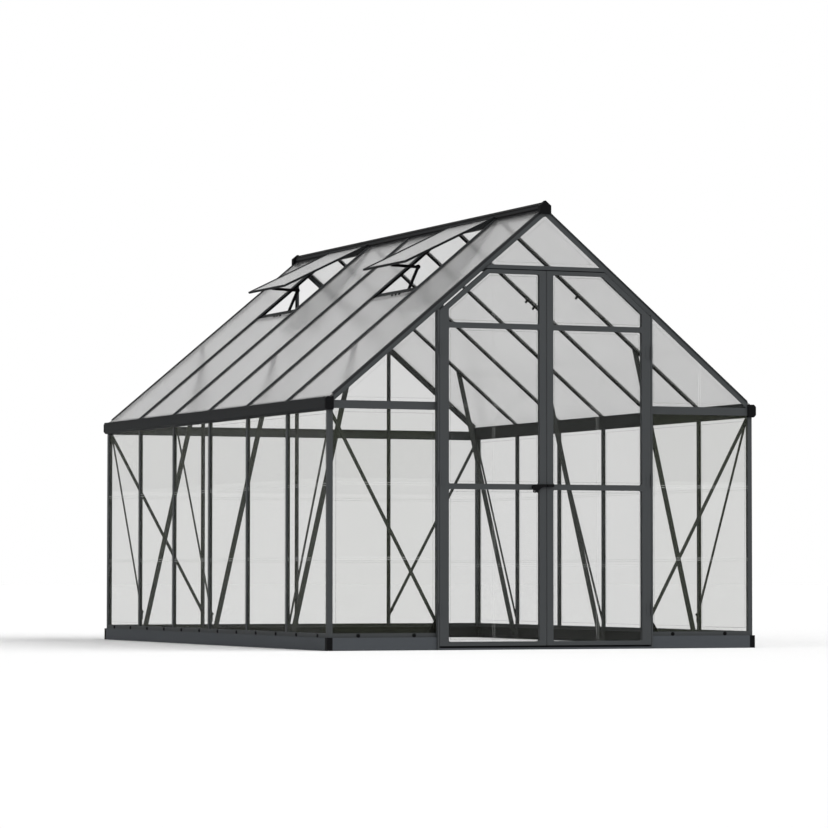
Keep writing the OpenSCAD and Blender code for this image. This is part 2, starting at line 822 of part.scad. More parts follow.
module door_hinges() {
  h = knuckle_l - 2*pin_gap;
  color("#2c2d2e") for (z = hinge_z) translate([0, 0, z])
    difference() {
      union() {
        knuckle(-h/2, h/2);
        translate([hinge_x - plate_gap - plate_w, door_face - plate_t, -h/2])
          cube([plate_gap + plate_w, plate_t, h]);
        translate([hinge_x - plate_gap - plate_w, door_face - plate_t, -3*knuckle_l/2])
          cube([plate_w, plate_t, 3*knuckle_l]);
      }
      translate([hinge_x, hinge_y, -knuckle_l]) cylinder(h = 2*knuckle_l, r = pin_r + pin_gap);
    }
}

module right_door_hinges() {
  door_hinges();
}

module left_door_hinges() {
  mirror([1, 0, 0]) door_hinges();
}

// Leaf outline seen from the front, drawn in by the given rim at the stiles and the slope.
module leaf_outline(outer, inner, slope, low, top) {
  intersection() {
    translate([leaf_in + inner, low]) square([leaf_out - outer - leaf_in - inner, top - low]);
    under_roof(slope_n - slope);
  }
}

// What a rounded corner takes from a square one at p, with the open side towards d.
module corner_fill(p, d) {
  difference() {
    translate([p[0] + (d[0] - 1)*field_r/2, p[1] + (d[1] - 1)*field_r/2]) square(field_r);
    translate([p[0] + d[0]*field_r, p[1] + d[1]*field_r]) circle(field_r);
  }
}

// Glazed fields of a leaf, from the bottom up, with round corners where a rail meets a stile.
module leaf_fields() {
  x0 = leaf_in + meeting_w;
  x1 = leaf_out - stile_w;
  z = [
    [leaf_low + bottom_rail_h, lock_rail_z],
    [lock_rail_z + lock_rail_h, upper_rail_z],
    [upper_rail_z + upper_rail_h, leaf_top_z - top_rail_h]
  ];
  difference() {
    for (f = z) leaf_outline(stile_w, meeting_w, slope_rail_w, f[0], f[1]);
    for (f = z) {
      corner_fill([x0, f[0]], [1, 1]);
      corner_fill([x1, f[0]], [-1, 1]);
      corner_fill([x0, f[1]], [1, -1]);
      if (f[1] < upper_rail_z + upper_rail_h) corner_fill([x1, f[1]], [-1, -1]);
    }
  }
}

module door_stiles() {
  color("#4a4c4e") along_y(door_face, door_face + leaf_d)
    difference() {
      leaf_outline(0, 0, 0, leaf_low, leaf_top_z);
      translate([leaf_in + meeting_w, 0])
        square([leaf_out - stile_w - leaf_in - meeting_w, ridge_z]);
    }
}

module right_door_stiles() {
  door_stiles();
}

module left_door_stiles() {
  mirror([1, 0, 0]) door_stiles();
}

module door_rails() {
  color("#4a4c4e") along_y(door_face, door_face + leaf_d)
    difference() {
      leaf_outline(stile_w, meeting_w, 0, leaf_low, leaf_top_z);
      leaf_fields();
    }
}

module right_door_rails() {
  door_rails();
}

module left_door_rails() {
  mirror([1, 0, 0]) door_rails();
}

// Ribs of the leaf panes: one upright in each field and one level in the two large fields.
module leaf_ribs() {
  mid = (leaf_in + meeting_w + leaf_out - stile_w)/2;
  translate([mid - rib_w/2, 0]) square([rib_w, ridge_z]);
  for (z = [
    (leaf_low + bottom_rail_h + lock_rail_z)/2,
    (lock_rail_z + lock_rail_h + upper_rail_z)/2
  ])
    translate([0, z - rib_w/2]) square([jamb_in, rib_w]);
}

module door_panes() {
  y = door_face + (leaf_d - sheet_t)/2;
  color("#d4d5d0", 0.35) {
    along_y(y, y + sheet_t) leaf_fields();
    along_y(y + sheet_t, y + sheet_t + rib_t)
      intersection() {
        leaf_fields();
        leaf_ribs();
      }
  }
}

module right_door_panes() {
  door_panes();
}

module left_door_panes() {
  mirror([1, 0, 0]) door_panes();
}

// Latch case with a round head and two padlock rings; its underside curves up to the bar.
module left_latch() {
  top = lock_rail_z + lock_rail_h;
  head_x = -leaf_in - hasp_l;
  bar_x = -leaf_in - latch_bar_l;
  ring_z = top - latch_h - ring_r + ring_lap;
  rings = [head_x, head_x + ring_pitch];
  color("#141516") along_y(door_face - latch_t, door_face)
    difference() {
      union() {
        translate([head_x, top - latch_h]) square([hasp_l, latch_h]);
        translate([head_x, top - latch_h/2]) circle(latch_h/2);
        for (x = rings) translate([x, ring_z]) circle(ring_r);
      }
      for (x = rings) translate([x, ring_z]) circle(ring_hole_r);
      translate([bar_x, top - latch_bar_h - latch_curve_r]) circle(latch_curve_r);
      translate([bar_x, 0]) square([latch_bar_l + leaf_in, top - latch_bar_h]);
    }
}

module right_latch() {
  top = lock_rail_z + lock_rail_h;
  color("#141516") along_y(door_face - latch_t, door_face)
    translate([leaf_in, top - latch_bar_h]) square([keeper_l, latch_bar_h]);
}

base_rails();
base_corners();
threshold();
sill_rails();
corner_posts();
left_wall_bars();
right_wall_bars();
rear_wall_bars();
door_jambs();
door_head();
eave_rails();
gutters();
gutter_end_caps();
gable_rafters();
ridge_beam();
ridge_end_caps();
left_roof_bars();
right_roof_bars();
knee_struts();
wall_braces();
jamb_gussets();
vent_sills();
vent_frames();
vent_panes();
vent_stay_arms();
vent_stay_links();
left_wall_sheets();
right_wall_sheets();
front_wall_sheets();
rear_wall_sheets();
front_gable_sheets();
rear_gable_sheets();
left_roof_panels();
right_roof_panels();
jamb_hinges();
left_door_stiles();
left_door_rails();
left_door_panes();
left_door_hinges();
left_latch();
right_door_stiles();
right_door_rails();
right_door_panes();
right_door_hinges();
right_latch();
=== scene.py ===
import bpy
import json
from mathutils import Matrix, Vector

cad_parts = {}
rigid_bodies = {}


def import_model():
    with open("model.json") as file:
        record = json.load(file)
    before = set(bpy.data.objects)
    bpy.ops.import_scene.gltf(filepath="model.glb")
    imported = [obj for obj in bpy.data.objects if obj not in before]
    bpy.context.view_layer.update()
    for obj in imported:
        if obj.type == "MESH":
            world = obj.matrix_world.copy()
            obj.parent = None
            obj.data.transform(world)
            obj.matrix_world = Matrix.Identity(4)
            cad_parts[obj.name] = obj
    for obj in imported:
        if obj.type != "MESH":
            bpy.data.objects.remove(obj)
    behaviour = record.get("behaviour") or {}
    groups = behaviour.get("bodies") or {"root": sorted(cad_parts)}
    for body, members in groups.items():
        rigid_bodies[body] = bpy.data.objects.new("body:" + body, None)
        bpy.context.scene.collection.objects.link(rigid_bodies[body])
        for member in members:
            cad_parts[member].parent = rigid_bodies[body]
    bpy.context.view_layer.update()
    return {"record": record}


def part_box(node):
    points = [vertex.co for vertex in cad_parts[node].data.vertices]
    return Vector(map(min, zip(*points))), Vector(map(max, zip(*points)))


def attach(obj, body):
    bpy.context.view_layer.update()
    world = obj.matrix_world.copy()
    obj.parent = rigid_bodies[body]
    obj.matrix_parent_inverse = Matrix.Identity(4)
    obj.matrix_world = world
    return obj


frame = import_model()

import json
import math

import bmesh
import bpy
from mathutils import Vector

# Paints, mouldings and sheet colours, as linear values. Some stand in for light: painted shade on the base,
# the roof bars and the gable rafters, and a painted glint on the creases.
FRAME_PAINT = (0.045, 0.048, 0.050)
BASE_PAINT = (0.053, 0.058, 0.064)
# Painted shade: the near-black colour of the base's inner faces, standing in for the shade inside the
# house.
BASE_INNER_PAINTED_SHADE = (0.012, 0.012, 0.013)
BRACE_PAINT = (0.036, 0.039, 0.037)
# Dark paint of the gutters, also used as painted shade along the outer part of the gable rafters.
DARK_PAINT_AND_RAFTER_SHADE = (0.016, 0.017, 0.018)
BAR_PAINT = (0.036, 0.038, 0.040)
# Painted shade: the near-black colour of the roof bars' undersides, seen from inside the house.
BAR_PAINTED_SHADE = (0.004, 0.004, 0.004)
RIDGE_PAINT = (0.022, 0.023, 0.024)
BLACK_MOULDING = (0.0045, 0.0045, 0.005)
PANE_SHADE = (0.050, 0.053, 0.046)
WALL_SHADE = (0.050, 0.057, 0.030)
# Painted glint: the near-white colour of the thin lines along the edges of the pressed ribs.
PAINTED_CREASE_GLINT = (0.86, 0.87, 0.86)
FLOOR_PAPER = (0.805, 0.805, 0.805)
STUDIO_WHITE = (1, 1, 1, 1)

# How much light the opal panels pass, how much that drifts, and how rough they are. The left slope's panels
# and the vent panes pass less, as painted shade on that slope.
OPAL_TINT = 0.75
LEFT_OPAL_TINT_WITH_PAINTED_SHADE = 0.58
VENT_OPAL_TINT_WITH_PAINTED_SHADE = 0.46
OPAL_DRIFT = 0.12
OPAL_GLOSS = 0.16

# The middle value of a noise, and how far a paint's gloss swings with it.
NOISE_MIDDLE = 0.5
GLOSS_SWING = 0.12

# Sizes of the walls that the dressing shares with the solids, in metres.
WALL_X = -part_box("left_wall_bars")[0][0]
post_low, post_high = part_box("corner_posts")
WALL_Y = post_high[1]
EAVE_Z = post_high[2]
BASE_TOP = post_low[2]
SILL_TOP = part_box("sill_rails")[1][2]
SIDE_BAYS = 6
REAR_BAYS = 4
BAY = 2 * WALL_Y / SIDE_BAYS
STUDS = [-WALL_Y + k * BAY for k in range(SIDE_BAYS + 1)]
REAR_POSTS = [-WALL_X + k * 2 * WALL_X / REAR_BAYS for k in range(REAR_BAYS + 1)]
STRUT_STUDS = (1, 3, 5)
BAR_DEPTH = 0.020
BAR_HALF = 0.012
CAP = 0.004
TUBE = 0.024
POST_COVER = 0.034
BRACE = 0.004
BASE_LIP = 0.0085
IN_X = WALL_X - BAR_DEPTH
IN_Y = WALL_Y - BAR_DEPTH
TUBE_X = WALL_X - TUBE
SHEET_X = WALL_X - CAP
SHEET_Y = WALL_Y - CAP
FRONT_RAIL = 1.234
RAIL_TOP = 1.275
BAND_LOW = 0.880

# Sizes of the roof. The negative ones are depths under the roof plane, square to it.
RIDGE_Z = 2.308
RIDGE_TONE_Z = 2.313
ROOF_RUN = 1.210
ROOF_RISE = 1.011
PITCH = math.atan2(ROOF_RISE, ROOF_RUN)
SLOPE = math.tan(PITCH)
RAFTER_LOW = -0.038
# Depth under the roof plane above which the gable rafters take their painted shade.
RAFTER_PAINTED_SHADE_DEPTH = -0.016
PANEL_OUT = -0.007
# Depth under the roof plane below which the roof bars take their painted shade.
BAR_PAINTED_SHADE_DEPTH = -0.0072
BAR_LOW = -0.018
LEAF_EDGE = -0.070

# Sizes of the door leaves and of the frame round them.
JAMB_OUT = 0.614
HEAD_TOP = 1.993
LEAF_PROUD = 0.018
PANE_DEPTH = 0.0105
DOOR_FACE = -WALL_Y - LEAF_PROUD
LEAF_GLASS_Y = DOOR_FACE + PANE_DEPTH
LEAF_IN = 0.039
LEAF_OUT = 0.552
LEAF_TOP = 1.948
BOTTOM_RAIL = 0.042
LOCK_RAIL = (0.827, 0.856)
TOP_RAIL = (1.660, 1.688)
STILE_FOOT = 0.021
STILE_TOP = 1.967
DOORS = (("left_door", -1), ("right_door", 1))


def roof_height(x, off=0.0):
    """Height of the roof plane over x, moved outwards by off."""
    return RIDGE_Z + off / math.cos(PITCH) - abs(x) * SLOPE


def roof_reach(z, off):
    """Distance from the middle at which the roof plane, moved outwards by off, has a height."""
    return (roof_height(0, off) - z) / SLOPE


def on_roof(side, along, y, off=0.0):
    """Point on a slope, a distance along it from the ridge, moved outwards by off."""
    return (side * (along * math.cos(PITCH) + off * math.sin(PITCH)), y,
            RIDGE_Z - along * math.sin(PITCH) + off * math.cos(PITCH))


def feed(tree, node, inputs):
    """Gives a node's inputs their values, or the sockets that drive them."""
    for label, value in inputs.items():
        if isinstance(value, bpy.types.NodeSocket):
            tree.links.new(value, node.inputs[label])
        else:
            node.inputs[label].default_value = value


def add(tree, kind, inputs, **settings):
    """Adds a node with its settings and inputs."""
    node = tree.nodes.new(kind)
    for label, value in settings.items():
        setattr(node, label, value)
    feed(tree, node, inputs)
    return node


def calc(tree, operation, *values):
    """Result of a Math node on sockets and numbers."""
    return add(tree, "ShaderNodeMath", dict(enumerate(values)), operation=operation).outputs[0]


def object_place(tree):
    """Place of a point on the object."""
    return add(tree, "ShaderNodeTexCoord", {}).outputs["Object"]


def axes(tree, place):
    """X, Y and Z of a place."""
    return add(tree, "ShaderNodeSeparateXYZ", {0: place}).outputs


def new_group(name, inputs, outputs):
    """Makes an empty shader group with named sockets and hands back its ends."""
    group = bpy.data.node_groups.new(name, "ShaderNodeTree")
    for label, kind, value in inputs:
        socket = group.interface.new_socket(label, in_out="INPUT", socket_type=kind)
        socket.default_value = value
    for label, kind in outputs:
        group.interface.new_socket(label, in_out="OUTPUT", socket_type=kind)
    return group, group.nodes.new("NodeGroupInput").outputs, group.nodes.new("NodeGroupOutput")


def powder_coat_group():
    """Fine pebbled paint: colour drift, gloss drift and a shallow height."""
    group, given, result = new_group(
        "powder coat",
        [("Color", "NodeSocketColor", (0.1, 0.1, 0.1, 1)), ("Drift", "NodeSocketFloat", 0.12),
         ("Gloss", "NodeSocketFloat", 0.45), ("Grain Scale", "NodeSocketFloat", 900.0)],
        [("Color", "NodeSocketColor"), ("Roughness", "NodeSocketFloat"), ("Height", "NodeSocketFloat")])
    place = object_place(group)
    broad = add(group, "ShaderNodeTexNoise", {"Vector": place, "Scale": 2.2, "Detail": 4.0})
    fine = add(group, "ShaderNodeTexNoise", {"Vector": place, "Scale": given["Grain Scale"], "Detail": 2.0})
    centred = calc(group, "SUBTRACT", broad.outputs["Fac"], NOISE_MIDDLE)
    swing = calc(group, "MULTIPLY_ADD", centred, given["Drift"], 1.0)
    tint = add(group, "ShaderNodeVectorMath", {0: given["Color"], "Scale": swing}, operation="SCALE")
    gloss = calc(group, "MULTIPLY_ADD", centred, GLOSS_SWING, given["Gloss"])
    feed(group, result, {"Color": tint.outputs[0], "Roughness": gloss, "Height": fine.outputs["Fac"]})
    return group


def sheet_haze_group():
    """Faint clouding of a plastic sheet: how much it veils, denser in a level band, and how rough it is."""
    group, given, result = new_group(
        "sheet haze",
        [("Veil", "NodeSocketFloat", 0.3), ("Drift", "NodeSocketFloat", 0.1),
         ("Gloss", "NodeSocketFloat", 0.15), ("Scale", "NodeSocketFloat", 1.4),
         ("Band", "NodeSocketFloat", 0.0), ("Band Middle", "NodeSocketFloat", 1.0),
         ("Band Half", "NodeSocketFloat", 0.2)],
        [("Level", "NodeSocketFloat"), ("Roughness", "NodeSocketFloat")])
    place = object_place(group)
    cloud = add(group, "ShaderNodeTexNoise", {"Vector": place, "Scale": given["Scale"], "Detail": 3.0})
    centred = calc(group, "SUBTRACT", cloud.outputs["Fac"], NOISE_MIDDLE)
    away = calc(group, "SUBTRACT", axes(group, place)["Z"], given["Band Middle"])
    within = calc(group, "LESS_THAN", calc(group, "ABSOLUTE", away), given["Band Half"])
    denser = calc(group, "MULTIPLY_ADD", within, given["Band"], given["Veil"])
    feed(group, result, {"Level": calc(group, "MULTIPLY_ADD", centred, given["Drift"], denser),
                         "Roughness": calc(group, "MULTIPLY_ADD", centred, given["Drift"], given["Gloss"])})
    return group


def lower_side_group():
    """Tells the parts that lie under a pair of slopes from those over them."""
    group, given, result = new_group(
        "lower side",
        [("Peak", "NodeSocketFloat", 2.0), ("Slope", "NodeSocketFloat", 0.8)],
        [("Factor", "NodeSocketFloat")])
    parts = axes(group, object_place(group))
    level = calc(group, "MULTIPLY_ADD", calc(group, "ABSOLUTE", parts["X"]), given["Slope"], parts["Z"])
    feed(group, result, {"Factor": calc(group, "LESS_THAN", level, given["Peak"])})
    return group


def inner_side_group():
    """Tells the parts inside an upright box about the middle from those outside."""
    group, given, result = new_group(
        "inner side",
        [("Half Width", "NodeSocketFloat", 1.0), ("Half Length", "NodeSocketFloat", 1.0)],
        [("Factor", "NodeSocketFloat")])
    parts = axes(group, object_place(group))
    within = [calc(group, "LESS_THAN", calc(group, "ABSOLUTE", parts[axis]), given[label])
              for axis, label in (("X", "Half Width"), ("Y", "Half Length"))]
    feed(group, result, {"Factor": calc(group, "MULTIPLY", *within)})
    return group


POWDER_COAT = powder_coat_group()
SHEET_HAZE = sheet_haze_group()
LOWER_SIDE = lower_side_group()
INNER_SIDE = inner_side_group()


def new_material(name):
    """Makes a material and hands back its tree and its surface shader too."""
    material = bpy.data.materials.new(name)
    material.use_nodes = True
    return material, material.node_tree, material.node_tree.nodes["Principled BSDF"]


def coated(name, colour, drift=0.12, gloss=0.55, grain=900.0, specular=0.05):
    """A painted or moulded finish from the powder coat group."""
    material, tree, surface = new_material(name)
    coat = add(tree, "ShaderNodeGroup",
               {"Color": (*colour, 1), "Drift": drift, "Gloss": gloss, "Grain Scale": grain},
               node_tree=POWDER_COAT)
    bump = add(tree, "ShaderNodeBump",
               {"Strength": 0.5, "Distance": 0.00004, "Height": coat.outputs["Height"]})
    feed(tree, surface, {"Base Color": coat.outputs["Color"], "Roughness": coat.outputs["Roughness"],
                         "Normal": bump.outputs["Normal"], "Specular IOR Level": specular})
    return material


def two_tone(material, second, mask, values):
    """Gives a coated finish a second colour where the mask group says so."""
    tree = material.node_tree
    coat = next(node for node in tree.nodes if node.type == "GROUP")
    choice = add(tree, "ShaderNodeGroup", values, node_tree=mask)
    blend = add(tree, "ShaderNodeMix", {"Factor": choice.outputs["Factor"]}, data_type="RGBA")
    first_colour, second_colour = (socket for socket in blend.inputs if socket.type == "RGBA")
    first_colour.default_value = coat.inputs["Color"].default_value
    second_colour.default_value = (*second, 1)
    mixed = next(socket for socket in blend.outputs if socket.type == "RGBA")
    feed(tree, coat, {"Color": mixed})
    return material


def veiled(name, shade, veil, drift, gloss, specular, band=0.0):
    """A clear sheet, rim or painted crease glint that veils what stands behind it, more so in a band below
    the eaves.
    """
    material, tree, surface = new_material(name)
    haze = add(tree, "ShaderNodeGroup",
               {"Veil": veil, "Drift": drift, "Gloss": gloss, "Band": band,
                "Band Middle": (BAND_LOW + RAIL_TOP) / 2, "Band Half": (RAIL_TOP - BAND_LOW) / 2},
               node_tree=SHEET_HAZE)
    feed(tree, surface, {"Base Color": (*shade, 1), "Specular IOR Level": specular,
                         "Alpha": haze.outputs["Level"], "Roughness": haze.outputs["Roughness"]})
    return material


def opal_panel(name, tint):
    """A roof panel that lets light through but blurs what is behind it."""
    material, tree, surface = new_material(name)
    haze = add(tree, "ShaderNodeGroup", {"Veil": tint, "Drift": OPAL_DRIFT, "Gloss": OPAL_GLOSS},
               node_tree=SHEET_HAZE)
    feed(tree, surface, {"Base Color": haze.outputs["Level"], "Roughness": haze.outputs["Roughness"],
                         "Transmission Weight": 0.9, "IOR": 1.1, "Specular IOR Level": 0.05})
    return material


# The finish of each material slot, and those of the lines on the sheets: grey rims and the painted glints
# on the creases.
finishes = {
    "frame_metal": coated("anthracite frame paint", FRAME_PAINT),
    # The base paint turns near black on its inner faces, as painted shade.
    "base_metal": two_tone(coated("grey base paint with painted shade inside", BASE_PAINT, drift=0.2, gloss=0.6), BASE_INNER_PAINTED_SHADE,
                           INNER_SIDE, {"Half Width": WALL_X + BASE_LIP, "Half Length": WALL_Y + BASE_LIP}),
    "brace_metal": coated("dark brace paint", BRACE_PAINT),
    "hinge_metal": coated("dark hinge paint", FRAME_PAINT, gloss=0.5),
    "dark_metal": coated("dark gutter paint", DARK_PAINT_AND_RAFTER_SHADE, specular=0.02),
    "black_plastic": coated("black moulding", BLACK_MOULDING,
                            drift=0.3, gloss=0.6, grain=1400.0, specular=0.03),
    "clear_sheet": veiled("clear pane", PANE_SHADE, veil=0.104, drift=0.02, gloss=0.3, specular=0.2),
    "roof_panel": opal_panel("opal roof panel", OPAL_TINT),
}
# Near-white lines along the rib edges, as painted glints; fainter on the doors.
painted_crease_glint = veiled("painted glint on crease", PAINTED_CREASE_GLINT, veil=0.55, drift=0.1, gloss=0.35, specular=0.3)
door_painted_crease_glint = veiled("faint painted glint on door crease", PAINTED_CREASE_GLINT,
                            veil=0.25, drift=0.05, gloss=0.35, specular=0.2)
rim_finish = veiled("grey rim line", PANE_SHADE, veil=0.17, drift=0.02, gloss=0.4, specular=0.2)

# Finishes of single nodes, where the photograph shows more than their slot's finish.
# Roof bars: grey paint outside, and painted shade in near black below the panels.
bar_paint_and_painted_shade = two_tone(coated("roof bar paint with painted shade underneath", BAR_PAINT, specular=0.02), BAR_PAINTED_SHADE,
                      LOWER_SIDE, {"Peak": roof_height(0, BAR_PAINTED_SHADE_DEPTH), "Slope": SLOPE})
ridge_finish = two_tone(coated("ridge paint", BLACK_MOULDING, specular=0.02), RIDGE_PAINT,
                        LOWER_SIDE, {"Peak": RIDGE_TONE_Z, "Slope": 0.0})
# Gable rafters: painted shade in near black along their outer 16 mm, frame paint below it.
rafter_paint_and_painted_shade = two_tone(coated("rafter paint with painted shade on top", DARK_PAINT_AND_RAFTER_SHADE), FRAME_PAINT,
                         LOWER_SIDE, {"Peak": roof_height(0, RAFTER_PAINTED_SHADE_DEPTH), "Slope": SLOPE})
wall_finish = veiled("clear wall sheet", WALL_SHADE,
                     veil=0.106, drift=0.02, gloss=0.3, specular=0.2, band=0.019)
own_finish = {
    "left_roof_bars": bar_paint_and_painted_shade,
    "right_roof_bars": bar_paint_and_painted_shade,
    "ridge_beam": ridge_finish,
    "gable_rafters": rafter_paint_and_painted_shade,
    # Darker copies of the opal panel on the left slope and in the vents, as painted shade.
    "left_roof_panels": opal_panel("opal panel darkened as painted shade", LEFT_OPAL_TINT_WITH_PAINTED_SHADE),
    "vent_panes": opal_panel("opal vent pane darkened as painted shade", VENT_OPAL_TINT_WITH_PAINTED_SHADE),
    "left_wall_sheets": wall_finish,
    "right_wall_sheets": wall_finish,
    "front_wall_sheets": wall_finish,
    "rear_wall_sheets": wall_finish,
}

for part in frame["record"]["subparts"]:
    for place in bpy.data.objects[part["node"]].material_slots:
        place.material = own_finish.get(part["node"], finishes[part["material_slot"]])


def new_tree(name, inputs):
    """Makes a geometry tree with a geometry in and out and named sizes, and hands back its ends."""
    tree = bpy.data.node_groups.new(name, "GeometryNodeTree")
    tree.interface.new_socket("Geometry", in_out="INPUT", socket_type="NodeSocketGeometry")
    for label, kind, value in inputs:
        socket = tree.interface.new_socket(label, in_out="INPUT", socket_type=kind)
        if value is not None:
            socket.default_value = value
    tree.interface.new_socket("Geometry", in_out="OUTPUT", socket_type="NodeSocketGeometry")
    return tree, tree.nodes.new("NodeGroupInput").outputs, tree.nodes.new("NodeGroupOutput")


def end_tree(tree, given, result, shapes):
    """Makes the shapes real and gives them their finish."""
    real = add(tree, "GeometryNodeRealizeInstances", {"Geometry": shapes})
    paint = add(tree, "GeometryNodeSetMaterial",
                {"Geometry": real.outputs["Geometry"], "Material": given["Finish"]})
    feed(tree, result, {"Geometry": paint.outputs["Geometry"]})
    return tree


# Sides of the round pieces, and the height of a washer as a share of its bolt head's.
WASHER_SHARE = 0.5
HEAD_SIDES = 6
WASHER_SIDES = 14
LINE_SIDES = 6


def bolt_tree():
    """Sets a six-sided head on a round washer at every point, turned to its facing."""
    tree, given, result = new_tree(
        "bolt heads",
        [("Head Radius", "NodeSocketFloat", 0.006), ("Head Height", "NodeSocketFloat", 0.004),
         ("Washer Radius", "NodeSocketFloat", 0.009), ("Finish", "NodeSocketMaterial", None)])
    thin = calc(tree, "MULTIPLY", given["Head Height"], WASHER_SHARE)
    head = add(tree, "GeometryNodeMeshCylinder",
               {"Vertices": HEAD_SIDES, "Radius": given["Head Radius"], "Depth": given["Head Height"]})
    washer = add(tree, "GeometryNodeMeshCylinder",
                 {"Vertices": WASHER_SIDES, "Radius": given["Washer Radius"], "Depth": thin})
    rise = add(tree, "ShaderNodeCombineXYZ", {"Z": thin})
    lift = add(tree, "GeometryNodeTransform",
               {"Geometry": head.outputs["Mesh"], "Translation": rise.outputs[0]})
    both = add(tree, "GeometryNodeJoinGeometry", {"Geometry": lift.outputs["Geometry"]})
    feed(tree, both, {"Geometry": washer.outputs["Mesh"]})
    facing = add(tree, "GeometryNodeInputNamedAttribute", {"Name": "facing"}, data_type="FLOAT_VECTOR")
    turn = add(tree, "FunctionNodeAlignRotationToVector", {"Vector": facing.outputs["Attribute"]}, axis="Z")
    spread = add(tree, "GeometryNodeInstanceOnPoints",
                 {"Points": given["Geometry"], "Instance": both.outputs["Geometry"],
                  "Rotation": turn.outputs["Rotation"]})
    return end_tree(tree, given, result, spread.outputs["Instances"])


def line_tree():
    """Runs a thin round line along every edge path."""
    tree, given, result = new_tree(
        "pressed lines",
        [("Radius", "NodeSocketFloat", 0.001), ("Finish", "NodeSocketMaterial", None)])
    path = add(tree, "GeometryNodeMeshToCurve", {"Mesh": given["Geometry"]})
    ring = add(tree, "GeometryNodeCurvePrimitiveCircle",
               {"Resolution": LINE_SIDES, "Radius": given["Radius"]})
    sweep = add(tree, "GeometryNodeCurveToMesh",
                {"Curve": path.outputs["Curve"], "Profile Curve": ring.outputs["Curve"], "Fill Caps": True})
    return end_tree(tree, given, result, sweep.outputs["Mesh"])


BOLTS = bolt_tree()
LINES = line_tree()


def add_piece(name, mesh, body):
    """Puts a finished mesh in the scene as a piece that rides on a body."""
    piece = bpy.data.objects.new(name, mesh)
    bpy.context.scene.collection.objects.link(piece)
    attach(piece, body)


def grow(name, seed, tree, values, body):
    """Runs a geometry tree on a seed mesh and keeps the result as a plain piece."""
    holder = bpy.data.objects.new(name + "_seed", seed)
    bpy.context.scene.collection.objects.link(holder)
    build = holder.modifiers.new("build", "NODES")
    build.node_group = tree
    for item in tree.interface.items_tree:
        if item.item_type == "SOCKET" and item.in_out == "INPUT" and item.name in values:
            build[item.identifier] = values[item.name]
    holder.update_tag()
    made = bpy.data.meshes.new_from_object(holder.evaluated_get(bpy.context.evaluated_depsgraph_get()))
    made.name = name
    holder.modifiers.remove(build)
    bpy.data.objects.remove(holder)
    add_piece(name, made, body)


def bolt_heads(name, spots, head_radius, head_height, washer_radius):
    """Black bolt heads on the house, each given by its place and the way it faces."""
    seed = bpy.data.meshes.new(name)
    seed.from_pydata([place for place, facing in spots], [], [])
    facings = seed.attributes.new("facing", "FLOAT_VECTOR", "POINT")
    for entry, (place, facing) in zip(facings.data, spots):
        entry.vector = facing
    sizes = {"Head Radius": head_radius, "Head Height": head_height, "Washer Radius": washer_radius}
    grow(name, seed, BOLTS, {**sizes, "Finish": finishes["black_plastic"]}, "house")


def thin_lines(name, paths, radius, finish, body):
    """Thin round lines along paths; a path that ends where it starts is a ring."""
    points, edges = [], []
    for path in paths:
        is_ring = path[0] == path[-1]
        first = len(points)
        points += path[:-1] if is_ring else path
        count = len(points) - first
        edges += [(first + k, first + k + 1) for k in range(count - 1)]
        if is_ring:
            edges.append((first + count - 1, first))
    seed = bpy.data.meshes.new(name)
    seed.from_pydata(points, edges, [])
    grow(name, seed, LINES, {"Radius": radius, "Finish": finish}, body)


def inset(corners, by):
    """Corners of a convex outline, listed anticlockwise, moved inwards by a distance."""
    moved = []
    count = len(corners)
    for k in range(count):
        a, b, c = (Vector(corners[(k + j) % count]) for j in (-1, 0, 1))
        one = (b - a).normalized()
        two = (c - b).normalized()
        turn = one.x * two.y - one.y * two.x
        moved.append(tuple(b + (two - one) * by / turn))
    return moved


def closed(points):
    """Path that runs back to its start."""
    return list(points) + [points[0]]


def between_bars(posts, k, end_cover):
    """Ends of the clear stretch of a bay, where the corner posts cover more than the bars."""
    first = posts[k] + (end_cover if k == 0 else BAR_HALF)
    last = posts[k + 1] - (end_cover if k == len(posts) - 2 else BAR_HALF)
    return first, last


# Outlines of the sheets between the frame pieces, as width and height.
FRONT_PANE = [(JAMB_OUT, SILL_TOP), (TUBE_X, SILL_TOP), (TUBE_X, FRONT_RAIL), (JAMB_OUT, FRONT_RAIL)]
SIDE_GABLE = [(JAMB_OUT, RAIL_TOP), (roof_reach(RAIL_TOP, RAFTER_LOW), RAIL_TOP),
              (JAMB_OUT, roof_height(JAMB_OUT, RAFTER_LOW))]
head_reach = roof_reach(HEAD_TOP, RAFTER_LOW)
TOP_GABLE = [(-head_reach, HEAD_TOP), (head_reach, HEAD_TOP), (0, roof_height(0, RAFTER_LOW))]
LEAF_FIELDS = [
    [(LEAF_IN, BOTTOM_RAIL), (LEAF_OUT, BOTTOM_RAIL), (LEAF_OUT, LOCK_RAIL[0]), (LEAF_IN, LOCK_RAIL[0])],
    [(LEAF_IN, LOCK_RAIL[1]), (LEAF_OUT, LOCK_RAIL[1]), (LEAF_OUT, TOP_RAIL[0]), (LEAF_IN, TOP_RAIL[0])],
    [(LEAF_IN, TOP_RAIL[1]), (LEAF_OUT, TOP_RAIL[1]), (LEAF_OUT, roof_height(LEAF_OUT, LEAF_EDGE)),
     (roof_reach(LEAF_TOP, LEAF_EDGE), LEAF_TOP), (LEAF_IN, LEAF_TOP)],
]

